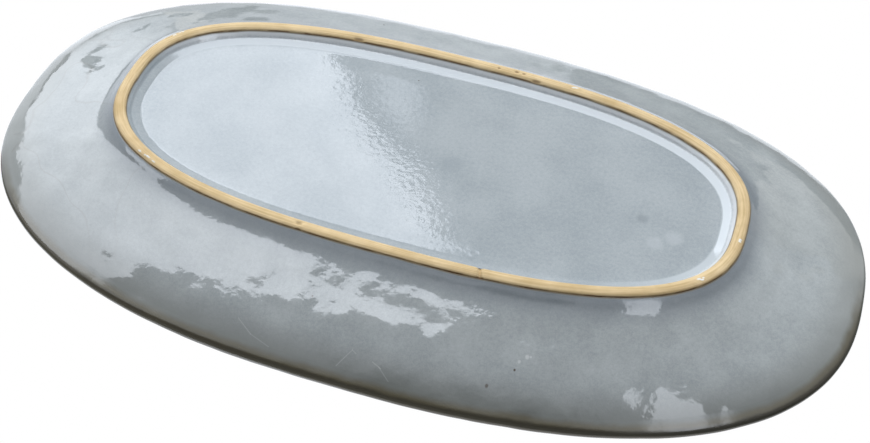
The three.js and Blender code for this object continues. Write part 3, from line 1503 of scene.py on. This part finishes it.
@dataclass(frozen=True)
class GlazeCoats:
    """The four coats of glaze."""

    form: PlateForm
    oval: DrawnOval
    turns: int = 512
    bead_steps: int = 7
    cove_steps: int = 14
    flank_steps: int = 48
    floor_steps: int = 36
    lip_steps: int = 18
    lip_run_steps: int = 5
    back_steps: int = 12
    bead_span: float = 0.25
    turn_span: float = 20 * MM
    stop_wander: float = 0.25 * MM
    stop_waves: float = 70
    wider_near: float = 4 * MM
    narrower_left: float = 5 * MM

    def coved(self, share: float) -> PlateForm:
        """Gives the plate's sizes with the outer cove as wide as the hand has left it.

        Args:
            share: Share of the turn.

        Returns:
            The sizes at that share.
        """
        angle = math.tau * share
        wider = self.wider_near * max(0.0, math.sin(angle)) ** 2
        narrower = self.narrower_left * max(0.0, -math.cos(angle)) ** 2
        return replace(self.form, outer_cove_width=self.form.outer_cove_width + wider - narrower)

    def stop_share(self, side: Side, share: float) -> float:
        """Gives the share of a cove at which the glaze stops.

        Args:
            side: Which side of the ring.
            share: Share of the turn.

        Returns:
            The share of the cove.
        """
        height = self.form.crown_rise + self.stop_wander * wander(share, self.stop_waves, side.value)
        return self.coved(share).cove_share(side, height)

    def cove_face(self, side: Side, share: float) -> list[Vector]:
        """Gives the coat's face from its beaded edge to the end of the cove.

        Args:
            side: Which side of the ring.
            share: Share of the turn.

        Returns:
            Points from the edge, where the coat thins out on the clay, to the root.
        """
        form = self.coved(share)
        stop = self.stop_share(side, share)
        points = []
        for step in range(self.bead_steps):
            part = step / self.bead_steps
            thickness = form.coat * math.sin(math.pi / 2 * part)
            points += form.cove_line(side, [stop + self.bead_span * part], thickness)
        return points + form.cove_line(side, spaced(stop + self.bead_span, 1, self.cove_steps), form.coat)

    def cove_back(self, side: Side, share: float) -> list[Vector]:
        """Returns the coat's back, just inside the clay, from its edge to the end of the cove."""
        shares = spaced(self.stop_share(side, share), 1, self.cove_steps // 2)
        return self.coved(share).cove_line(side, shares, -self.form.coat_sink)

    def pooled(self, point: Vector) -> Vector:
        """Lowers a point of the base coat's face to where the glaze has pooled in the cove.

        Args:
            point: Reach and height of the point.

        Returns:
            The lowered point.
        """
        form = self.form
        pool_face = form.foot_height - form.coat - form.pool_slope * max(0.0, point.x - form.base_edge)
        if point.x > form.base_edge + form.pool_width:
            return point
        return Vector((point.x, min(point.y, pool_face)))

    def flank_profile(self, share: float) -> list[Vector]:
        """Gives the flank coat's section.

        Args:
            share: Share of the turn.

        Returns:
            Reach and height of its points.
        """
        form = self.coved(share)
        face = self.cove_face(Side.OUTSIDE, share)
        wall = form.wall_line(form.cove_end, form.lip_coat_start, form.coat_face, self.flank_steps)[1:]
        wall_back = form.wall_line(form.lip_coat_start, form.cove_end, form.coat_back, self.back_steps)
        back = self.cove_back(Side.OUTSIDE, share)[::-1][1:]
        return face + wall + wall_back + back + face[:1]

    def base_profile(self, share: float) -> list[Vector]:
        """Gives the base coat's section.

        Args:
            share: Share of the turn.

        Returns:
            Reach and height of its points.
        """
        form = self.form
        panel = level_line(0, form.base_edge, form.foot_height - form.coat, self.floor_steps)[:-1]
        face = [self.pooled(point) for point in self.cove_face(Side.INSIDE, share)[::-1]]
        back = self.cove_back(Side.INSIDE, share)
        panel_back = level_line(form.base_edge, 0, form.foot_height + form.coat_sink, self.back_steps)[1:]
        return panel + face + back + panel_back

    def serving_profile(self, share: float) -> list[Vector]:
        """Gives the serving coat's section.

        Args:
            share: Share of the turn. The section is the same at each.

        Returns:
            Reach and height of its points.
        """
        form = self.form
        floor = form.foot_height + form.wall_thickness
        back = level_line(0, form.flank_start, floor - form.coat_sink, self.back_steps)[:-1]
        wall_back = form.wall_line(form.flank_start, form.lip_coat_start, -form.coat_back, self.back_steps)
        wall = form.wall_line(form.lip_coat_start, form.flank_start, -form.coat_face, self.flank_steps)
        face = level_line(form.flank_start, 0, floor + form.coat, self.floor_steps)[1:]
        return back + wall_back + [self.filled(point) for point in wall + face]

    def filled(self, point: Vector) -> Vector:
        """Raises a point of the serving coat's face where the glaze fills the turn from floor to flank.

        Args:
            point: Reach and height of the point.

        Returns:
            The raised point.
        """
        form = self.form
        from_turn = abs(point.x - form.flank_start)
        _, down = form.wall_middle(form.flank_start + self.turn_span)
        steepness = -down.x / down.y
        rise = steepness / (4 * self.turn_span) * max(0.0, self.turn_span - from_turn) ** 2
        return Vector((point.x, point.y + rise))

    def lip_profile(self, share: float) -> list[Vector]:
        """Gives the lip coat's section.

        Args:
            share: Share of the turn. The section is the same at each.

        Returns:
            Reach and height of its points.
        """
        form = self.form
        start, end = form.lip_coat_start, form.lip_half_length

        def around(distance: float) -> list[Vector]:
            """Gives points from the underside round the lip to the serving side.

            Args:
                distance: Distance from the wall's middle line.

            Returns:
                Reach and height of its points.
            """
            under = form.wall_line(start, end, distance, self.lip_run_steps)[:-1]
            over = form.wall_line(end, start, -distance, self.lip_run_steps)[1:]
            return under + form.lip_line(distance, self.lip_steps) + over

        face = around(form.coat_face)
        return face + around(form.coat_back)[::-1] + face[:1]

    def build(self, mottle: GlazeMottle) -> None:
        """Builds and dresses the four coats.

        Args:
            mottle: The shader group that the glazes share.
        """
        grey = GreyGlaze(
            "flank_grey",
            mottle,
            GlazeSurface(cloud_length=16 * MM, peel_depth=0.075 * MM),
            pale=(0.434, 0.478, 0.498),
            deep=(0.270, 0.308, 0.326),
            layers=(PaintedCoveShade(), *FLANK_MARKS, TideLines()),
        )
        flank = unrolled_strip("flank_coat", self.flank_profile, self.turns)
        self.oval.draw(flank, grey.material())
        seat(flank, "flank_glaze")

        base_edge = self.floor_steps + self.bead_steps + self.cove_steps
        base = unrolled_strip("base_coat", self.base_profile, self.turns, base_edge)
        base_grey = GreyGlaze(
            "base_grey",
            mottle,
            GlazeSurface(roughness=0.06, cloud_length=28 * MM, peel_length=2.4 * MM, peel_depth=0.034 * MM),
            layers=(CovePoolAndSheen(), *BASE_MARKS),
        )
        self.oval.draw(base, base_grey.material())
        seat(base, "base_glaze")

        lip_edge = 2 * self.back_steps + 1
        serving = unrolled_strip("serving_coat", self.serving_profile, self.turns, lip_edge)
        serving_grey = GreyGlaze(
            "serving_grey",
            mottle,
            GlazeSurface(cloud_length=20 * MM),
            pale=(0.412, 0.456, 0.478),
            deep=(0.294, 0.332, 0.350),
            rim_start=16.0,
            rim_end=0.0,
            edge=None,
        )
        self.oval.draw(serving, serving_grey.material())
        seat(serving, "serving_glaze")

        lip = unrolled_strip("lip_coat", self.lip_profile, self.turns)
        self.oval.draw(lip, LipGlaze("lip_glaze_brown", mottle, self.form, grey).material())
        seat(lip, "lip_glaze")


def aimed(place: Place, aim: Place) -> Quaternion:
    """Returns the turn that makes a lamp or a camera look from one place to another."""
    return (Vector(aim) - Vector(place)).to_track_quat("-Z", "Y")


@dataclass(frozen=True)
class Softbox:
    """A square lamp that glows evenly over its whole face and shows in no mirror.

    A glow of 1 takes its watts on each square metre of the face.
    """

    name: str
    place: Place
    aim: Place
    side: float
    glow: float
    watts: float = 4.0

    def hang(self) -> None:
        """Makes the lamp."""
        lamp = bpy.data.lights.new(self.name, "AREA")
        lamp.shape = "SQUARE"
        lamp.size = self.side
        lamp.energy = self.watts * self.glow * self.side**2
        holder = bpy.data.objects.new(self.name, lamp)
        bpy.context.scene.collection.objects.link(holder)
        holder.location = self.place
        holder.rotation_mode = "QUATERNION"
        holder.rotation_quaternion = aimed(self.place, self.aim)
        holder.visible_camera = False
        holder.visible_glossy = False


@dataclass(frozen=True)
class MirrorCard:
    """A glowing card that shows only in reflections.

    Its corners are directions from the plate, in degrees away from straight down along X and Y.
    With a second line of corners the card is the band between both lines,
    and its glow may change across it.
    """

    name: str
    corners: Sequence[Direction]
    glow: float
    distance: float = 6.0
    second_line: Sequence[Direction] = ()
    second_glow: float | None = None
    tint: Colour = (0.95, 1.0, 1.08)
    edge_steps: int = 6
    least_angle: float = 0.001

    def place(self, x: float, y: float) -> Place:
        """Gives the card's point in a direction.

        Args:
            x: Degrees away from straight down along X.
            y: Degrees along Y.

        Returns:
            The point.
        """
        away = math.radians(max(math.hypot(x, y), self.least_angle))
        along = self.distance * math.sin(away) / math.degrees(away)
        return x * along, y * along, -self.distance * math.cos(away)

    def between(self, line: Sequence[Direction]) -> list[Place]:
        """Gives closely spaced points along a line of corners.

        Args:
            line: Directions of the corners.

        Returns:
            The points, the last corner included.
        """
        points = []
        for (x, y), (next_x, next_y) in zip(line, line[1:]):
            for share in spaced(0, 1, self.edge_steps)[:-1]:
                points.append(self.place(x + (next_x - x) * share, y + (next_y - y) * share))
        return points + [self.place(*line[-1])]

    def hang(self) -> None:
        """Makes the card."""
        if self.second_line:
            first, second = self.between(self.corners), self.between(self.second_line)
            count = len(first)
            vertices = first + second
            faces = [(step, step + 1, count + step + 1, count + step) for step in range(count - 1)]
            last_glow = self.glow if self.second_glow is None else self.second_glow
            glows = [self.glow] * count + [last_glow] * count
        else:
            middle = [sum(parts) / len(self.corners) for parts in zip(*self.corners)]
            rim = self.between([*self.corners, self.corners[0]])
            vertices = [self.place(*middle), *rim]
            faces = [(0, step, step + 1) for step in range(1, len(rim))]
            glows = [self.glow] * len(vertices)
        show_in_mirrors(self.name, vertices, faces, self.tint, glows)


def show_in_mirrors(
    name: str,
    vertices: Sequence[Place],
    faces: Sequence[Sequence[int]],
    tint: Colour,
    glows: Sequence[float],
) -> None:
    """Makes a glowing stage mesh that only glossy rays see.

    Args:
        name: The mesh's name.
        vertices: Its corners.
        faces: Its faces.
        tint: Its colour.
        glows: How bright it is at each corner.
    """
    mesh = bpy.data.meshes.new(name)
    mesh.from_pydata(vertices, [], faces)
    mesh.attributes.new(GLOW_MAP, "FLOAT", "POINT").data.foreach_set("value", glows)
    material = bpy.data.materials.new(name)
    board = blank_board(material)
    glow = board.add("ShaderNodeAttribute", attribute_name=GLOW_MAP).outputs["Fac"]
    light = board.add("ShaderNodeEmission", {"Color": solid(tint), "Strength": glow})
    board.add("ShaderNodeOutputMaterial", {"Surface": light.outputs[0]})
    material.cycles.emission_sampling = "NONE"
    mesh.materials.append(material)
    card = bpy.data.objects.new(name, mesh)
    bpy.context.scene.collection.objects.link(card)
    card.visible_camera = False
    card.visible_diffuse = False
    card.visible_transmission = False
    card.visible_shadow = False


# Directions of what the glaze mirrors, in degrees away from straight down along X and Y.
WINDOW_LEFT = ((-63.5, 12), (-64, -5), (-64.5, -25), (-65, -42))
WINDOW_CORNER = ((-65, -42), (-66, -56), (-60, -70), (-50, -77))
WINDOW_FRAME = (
    *((-28, -58), (-19.6, -48), (-17.6, -44.6), (-16.3, -42.8)),
    *((-14, -41.6), (-11.6, -40.6), (-10.8, -38)),
)
WINDOW_NEAR = (
    *((0.6, -26), (-0.5, 17), (-6, 20.5), (-15, 21.9)),
    *((-19, 23.8), (-28, 23), (-41.6, 23.5), (-54.4, 32)),
)
WINDOW_OUTLINE = (*WINDOW_LEFT, *WINDOW_CORNER[1:], (-42, -68), *WINDOW_FRAME, *WINDOW_NEAR)
WINDOW_CORE = ((-27, -44), (-38, -45), (-44, -36), (-34, -28))
STRIP_ACROSS = (-3, 1.5)
WINDOW_STRIP_SIDE = tuple((x + STRIP_ACROSS[0], y + STRIP_ACROSS[1]) for x, y in WINDOW_FRAME)
FAR_PANE = ((-16.4, -46.4), (-14.4, -45.8), (-13.2, -44), (-14.2, -43.4), (-15.4, -44.4))
SIDE_WINDOW = ((19.5, 23.5), (21.5, 19.5), (28, 19), (33, 23), (49.8, 47.2), (42, 58.5))
SKYLIGHT_NEAR = ((-92, 88), (-52, 118))
SKYLIGHT_FAR = ((-118, 110), (-70, 146))
WINDOW_FADE = ((-66, -30), (-50, -34), (-36, -42), (-28, -46))
WINDOW_DIM = ((-68, -56), (-58, -58), (-46, -55), (-30, -52))
WINDOW_DUSK = ((-70, -64), (-62, -76), (-46, -79), (-32, -66))
FRAME_BAR = ((-59, -49.5), (-51.2, -54.6), (-50, -63), (-48.3, -73.5), (-46.6, -83.5), (-41.2, -91))
FRAME_BAR_SIDE = ((-55, -46), (-46.5, -51), (-44.5, -62), (-43, -73), (-41, -83), (-36, -89))
SLOPE_START = ((-48, 25), (-50, 10), (-48, -6), (-44, -24))
SLOPE_END = ((-24, 23.2), (-24, 12), (-20, 0), (-14, -12))
SILL_FAR = ((-69.5, 12), (-69.5, -5), (-70, -28), (-70.5, -45))
SILL_CORNER = ((-70.5, -45), (-71.5, -60), (-65, -76), (-54, -84))
TABLE_FAR = ((-112, 15), (-112, -10), (-110, -36), (-104, -60), (-98, -80), (-90, -92), (-84, -100))
ROOM_NEAR = ((-54, -84), (-40, -84), (-10, -85))
ROOM_NEAR_RIGHT = ((-10, -85), (30, -80), (50, -70))
ROOM_FAR = ((-84, -100), (-50, -103), (-10, -106))
ROOM_FAR_RIGHT = ((-10, -106), (40, -106), (70, -96))
SKY_FAR = ((-175, 23), (-175, -16), (-166, -54), (-150, -87), (-137, -112), (-127, -123), (-117, -134))
SKY_FAR_RIGHT = ((-71, -163), (0, -178), (57, -168), (108, -141))
WALL = (
    *((-56, 40), (-40, 42), (-20, 40), (-2, 36), (10, 33), (24, 20)),
    *((33, 3), (36, -12), (41, -46), (34, -48), (20, -27), (0, -27)),
)
CORNER_NEAR = ((41, -46), (36, -12), (33, 3), (24, 20), (10, 33))
CORNER_FAR = ((66, -58), (68, -14), (66, 10), (58, 50), (34, 72))
CORNER_PAST = ((90, -70), (95, -14), (92, 20), (80, 70), (45, 100))
SHADE_NEAR = ((-60, 40), (-40, 42), (-20, 40), (-2, 36), (10, 33))
SHADE_EDGE = ((-63, 50), (-40, 50), (-20, 48), (-2, 45), (16, 42))
SHADE_FAR = ((-70, 110), (-40, 110), (-20, 105), (10, 100), (45, 95))
WINDOW_GLOW = 4.8
LOW_GLOW = 6.6
DIM_GLOW = 2.6
CORNER_GLOW = 0.4
SHADE_GLOW = 0.05
SKY_GLOW = 1.1
# Name, corners, glow and distance of each card. A band also has its second line, and may have a second glow.
MIRROR_CARDS = (
    MirrorCard("window", WINDOW_OUTLINE, WINDOW_GLOW),
    MirrorCard("window_strip", WINDOW_FRAME, 6.2, 3.5, WINDOW_STRIP_SIDE, WINDOW_GLOW),
    MirrorCard("far_pane", FAR_PANE, 3.0, 3.5),
    MirrorCard("window_core", WINDOW_CORE, 5.6, 3.4),
    MirrorCard("window_slope", SLOPE_START, WINDOW_GLOW, 3.7, SLOPE_END, LOW_GLOW),
    MirrorCard("window_low", (*SLOPE_END, (-4, -14), *WINDOW_NEAR[1:5]), LOW_GLOW, 3.6),
    MirrorCard("window_fade", WINDOW_FADE, WINDOW_GLOW, 5.0, WINDOW_DIM, DIM_GLOW),
    MirrorCard("window_dusk", WINDOW_DIM, DIM_GLOW, 5.0, WINDOW_DUSK, 0.9),
    MirrorCard("frame_bar", FRAME_BAR, 0.1, 4.6, FRAME_BAR_SIDE),
    MirrorCard("side_window", SIDE_WINDOW, 5.2, 5.0),
    MirrorCard("wall", WALL, 1.4, 6.6),
    MirrorCard("sill", WINDOW_LEFT, 1.3, 5.8, SILL_FAR),
    MirrorCard("sill_corner", WINDOW_CORNER, 0.35, 5.8, SILL_CORNER),
    MirrorCard("table", SILL_FAR + SILL_CORNER[1:], 1.5, 6.0, TABLE_FAR),
    MirrorCard("corner", CORNER_NEAR, 1.5, 6.6, CORNER_FAR, CORNER_GLOW),
    MirrorCard("dark_corner", CORNER_FAR, CORNER_GLOW, 6.6, CORNER_PAST),
    MirrorCard("near_shade", SHADE_NEAR, 1.1, 6.4, SHADE_EDGE, SHADE_GLOW),
    MirrorCard("dark_near", SHADE_EDGE, SHADE_GLOW, 6.4, SHADE_FAR),
    MirrorCard("far_room", ROOM_NEAR, 0.7, 6.5, ROOM_FAR),
    MirrorCard("far_room_right", ROOM_NEAR_RIGHT, 0.25, 6.5, ROOM_FAR_RIGHT),
    MirrorCard("skylight", SKYLIGHT_NEAR, 1.4, 4.0, SKYLIGHT_FAR, 2.6),
    MirrorCard("sky", TABLE_FAR, SKY_GLOW, 6.5, SKY_FAR),
    MirrorCard("sky_far", ROOM_FAR + ROOM_FAR_RIGHT[1:], SKY_GLOW, 6.5, SKY_FAR[-1:] + SKY_FAR_RIGHT),
)


@dataclass(frozen=True)
class Studio:
    """The floor, the light and the camera."""

    form: PlateForm
    floor_half: float = 3.0
    floor_colour: Colour = (0.86, 0.86, 0.85)
    ambient: float = 0.06
    backdrop: float = 1.0
    collar_height: float = 36.0 * MM
    collar_gap: float = 6.0 * MM
    collar_reach: float = 1.5
    collar_glow: float = 0.2
    collar_tint: Colour = (0.9, 1.0, 0.95)
    collar_start: float = -0.06
    collar_end: float = 0.47
    collar_turns: int = 96
    camera_place: Place = (117.7 * MM, 399.8 * MM, -422.6 * MM)
    camera_aim: Place = (15.9 * MM, 36.8 * MM, 0.0)
    camera_roll: float = math.radians(176.87)
    camera_lens: float = 61.18

    def lay_floor(self) -> None:
        """Lays a pale floor that shows from above and lets light and the camera through from below."""
        half = self.floor_half
        corners = [(-half, -half, 0), (half, -half, 0), (half, half, 0), (-half, half, 0)]
        mesh = bpy.data.meshes.new("floor")
        mesh.from_pydata(corners, [], [(0, 1, 2, 3)])
        floor = bpy.data.objects.new("floor", mesh)
        bpy.context.scene.collection.objects.link(floor)
        material = bpy.data.materials.new("floor_paint")
        board = blank_board(material)
        paint = board.add("ShaderNodeBsdfDiffuse", {"Color": solid(self.floor_colour)})
        clear = board.add("ShaderNodeBsdfTransparent")
        behind = board.add("ShaderNodeNewGeometry").outputs["Backfacing"]
        shown = board.add("ShaderNodeMixShader", {0: behind, 1: paint.outputs[0], 2: clear.outputs[0]})
        board.add("ShaderNodeOutputMaterial", {"Surface": shown.outputs[0]})
        mesh.materials.append(material)
        floor.visible_diffuse = False
        floor.visible_glossy = False
        floor.visible_transmission = False
        floor.visible_shadow = False

    def light_world(self) -> None:
        """Makes a white backdrop that lights matt surfaces less than it shows."""
        world = bpy.data.worlds.new("studio")
        bpy.context.scene.world = world
        board = blank_board(world)
        rays = board.add("ShaderNodeLightPath").outputs
        seen = board.math("MAXIMUM", rays["Is Camera Ray"], rays["Is Glossy Ray"])
        seen = board.math("MAXIMUM", seen, rays["Is Transmission Ray"])
        strength = board.ramp(seen, 0.0, 1.0, self.ambient, self.backdrop, smooth=False)
        glow = board.add("ShaderNodeBackground", {"Color": solid((1.0, 1.0, 1.0)), "Strength": strength})
        board.add("ShaderNodeOutputWorld", {"Surface": glow.outputs[0]})

    def hang_lamps(self) -> None:
        """Hangs the soft lamps under the plate and over it."""
        lamps = (
            Softbox("window_light", (-2.6, -2.4, -2.0), (-2.6, -2.4, 0.0), side=4.0, glow=1.1),
            Softbox("broad_below", (-0.2, -1.0, -2.0), (-0.2, -1.0, 0.0), side=3.0, glow=1.8),
            Softbox("far_below", (0.5, -3.2, -2.0), (0.5, -3.2, 0.0), side=3.2, glow=1.2),
            Softbox("key_above", (-1.3, 1.7, 1.8), (0.0, 0.0, 0.0), side=1.8, glow=5.2),
            Softbox("fill_above", (0.8, -0.8, 2.4), (0.0, 0.0, 0.0), side=2.4, glow=1.9),
        )
        for lamp in lamps:
            lamp.hang()

    def hang_cards(self) -> None:
        """Hangs what the glaze mirrors: the window below and the dark room round the lip."""
        for card in MIRROR_CARDS:
            card.hang()
        form = self.form
        gap = form.coat_face + self.collar_gap
        half_axes = (form.lip_half_length + gap, form.lip_half_width + gap)
        vertices = []
        for share in spaced(self.collar_start, self.collar_end, self.collar_turns):
            angle = math.tau * share
            x = signed_power(math.cos(angle), 2 / form.lip_roundness)
            y = signed_power(math.sin(angle), 2 / form.lip_roundness)
            vertices.append((half_axes[0] * x, half_axes[1] * y, self.collar_height))
            vertices.append((self.collar_reach * x, self.collar_reach * y, self.collar_height))
        faces = [(first, first + 1, first + 3, first + 2) for first in range(0, len(vertices) - 2, 2)]
        show_in_mirrors("dark_room", vertices, faces, self.collar_tint, [self.collar_glow] * len(vertices))

    def set_camera(self) -> None:
        """Sets the camera at the photograph's viewing angle, with the plate's underside up."""
        data = bpy.data.cameras.new("camera")
        data.lens = self.camera_lens
        camera = bpy.data.objects.new("camera", data)
        bpy.context.scene.collection.objects.link(camera)
        camera.location = self.camera_place
        camera.rotation_mode = "QUATERNION"
        roll = Quaternion((0, 0, 1), -self.camera_roll)
        camera.rotation_quaternion = aimed(self.camera_place, self.camera_aim) @ roll
        bpy.context.scene.camera = camera

    def build(self) -> None:
        """Makes the whole studio."""
        bpy.context.scene.view_settings.view_transform = "Standard"
        self.set_camera()
        self.lay_floor()
        self.light_world()
        self.hang_lamps()
        self.hang_cards()


def main() -> None:
    """Builds the studio and the plate."""
    logging.basicConfig(level=logging.INFO, format="%(name)s: %(message)s")
    form = PlateForm()
    Studio(form).build()
    oval = DrawnOval(form, HandFinish())
    ClayParts(form, oval).build()
    GlazeCoats(form, oval).build(GlazeMottle())


if __name__ == "__main__":
    main()
